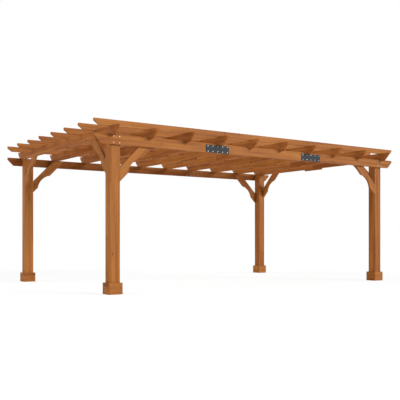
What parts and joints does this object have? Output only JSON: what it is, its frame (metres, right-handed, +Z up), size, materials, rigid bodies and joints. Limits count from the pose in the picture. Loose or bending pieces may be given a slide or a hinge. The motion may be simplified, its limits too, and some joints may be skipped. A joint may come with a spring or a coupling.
{
  "type": "wooden pergola",
  "caption": "Free-standing wooden pergola: an open roof of rafters and purlins with slanted ends, on spliced beams, square posts with box trims and scooped knee braces.",
  "frame": {"origin": "on the ground, midway between the four posts", "axes": "X runs along the beams and purlins, +Y points from the front beam to the back beam, +Z is up"},
  "size_m": [6.096, 3.93, 2.427],
  "materials": {
    "post_wood": "transparent cedar-tone stain over planed softwood, upright grain",
    "trim_wood": "transparent cedar-tone stain over planed softwood, level grain",
    "beam_wood": "transparent cedar-tone stain over planed softwood, grain along the beam",
    "rafter_wood": "transparent cedar-tone stain over planed softwood, grain along the rafter",
    "purlin_wood": "transparent cedar-tone stain over planed softwood, grain along the purlin",
    "brace_wood": "transparent cedar-tone stain over planed softwood, grain along the brace",
    "plate_steel": "blue-grey powder-coated steel plate",
    "bolt_steel": "bright zinc-plated bolts, washers and nuts"
  },
  "bodies": {
    "root": {"post_front_left": "post_wood", "post_front_right": "post_wood", "post_back_left": "post_wood", "post_back_right": "post_wood", "base_trim_front_left": "trim_wood", "base_trim_front_right": "trim_wood", "base_trim_back_left": "trim_wood", "base_trim_back_right": "trim_wood", "front_beam_left": "beam_wood", "front_beam_middle": "beam_wood", "front_beam_right": "beam_wood", "back_beam_left": "beam_wood", "back_beam_middle": "beam_wood", "back_beam_right": "beam_wood", "splice_plate_front_left": "plate_steel", "splice_plate_front_right": "plate_steel", "splice_plate_back_left": "plate_steel", "splice_plate_back_right": "plate_steel", "rafter_1": "rafter_wood", "rafter_2": "rafter_wood", "rafter_3": "rafter_wood", "rafter_4": "rafter_wood", "rafter_5": "rafter_wood", "rafter_6": "rafter_wood", "rafter_7": "rafter_wood", "rafter_8": "rafter_wood", "rafter_9": "rafter_wood", "rafter_10": "rafter_wood", "purlin_1": "purlin_wood", "purlin_2": "purlin_wood", "purlin_3": "purlin_wood", "purlin_4": "purlin_wood", "purlin_5": "purlin_wood", "purlin_6": "purlin_wood", "purlin_7": "purlin_wood", "purlin_8": "purlin_wood", "brace_long_front_left": "brace_wood", "brace_long_front_right": "brace_wood", "brace_long_back_left": "brace_wood", "brace_long_back_right": "brace_wood", "brace_side_front_left": "brace_wood", "brace_side_front_right": "brace_wood", "brace_side_back_left": "brace_wood", "brace_side_back_right": "brace_wood"}
  },
  "joints": []
}
